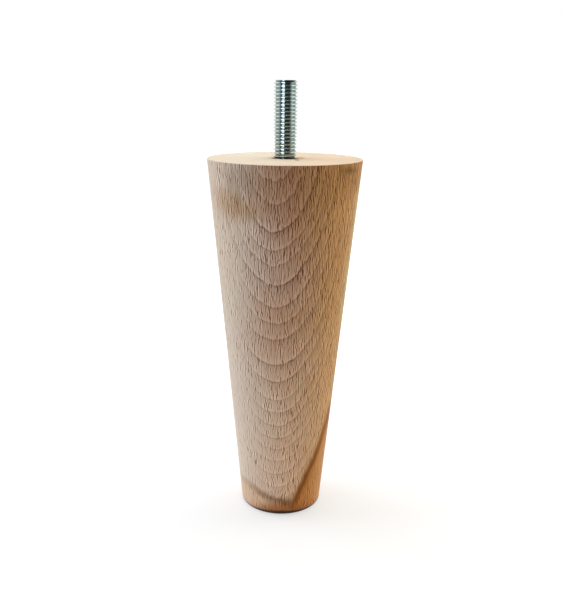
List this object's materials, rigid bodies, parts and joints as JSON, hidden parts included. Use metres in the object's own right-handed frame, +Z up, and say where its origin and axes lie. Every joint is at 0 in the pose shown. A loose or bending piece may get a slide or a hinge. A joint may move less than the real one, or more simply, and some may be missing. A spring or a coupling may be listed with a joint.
{
  "type": "tapered wooden furniture leg",
  "caption": "Turned beech furniture leg with a straight round taper, a rounded foot edge and a threaded steel stud on top that screws up into a sofa, bed or cabinet.",
  "frame": {"origin": "centre of the foot, on the floor", "axes": "+Z up along the leg and the stud; the leg is round, so X and Y are free"},
  "size_m": [0.0664, 0.0664, 0.192],
  "materials": {
    "beech": "bare sanded beech with U-shaped growth rings, short dark ray flecks and a brown heartwood streak at the foot",
    "zinc_plated_steel": "bright zinc plate with a faint blue-green tint"
  },
  "bodies": {
    "root": {"leg_body": "beech", "hanger_bolt": "zinc_plated_steel"}
  },
  "joints": []
}
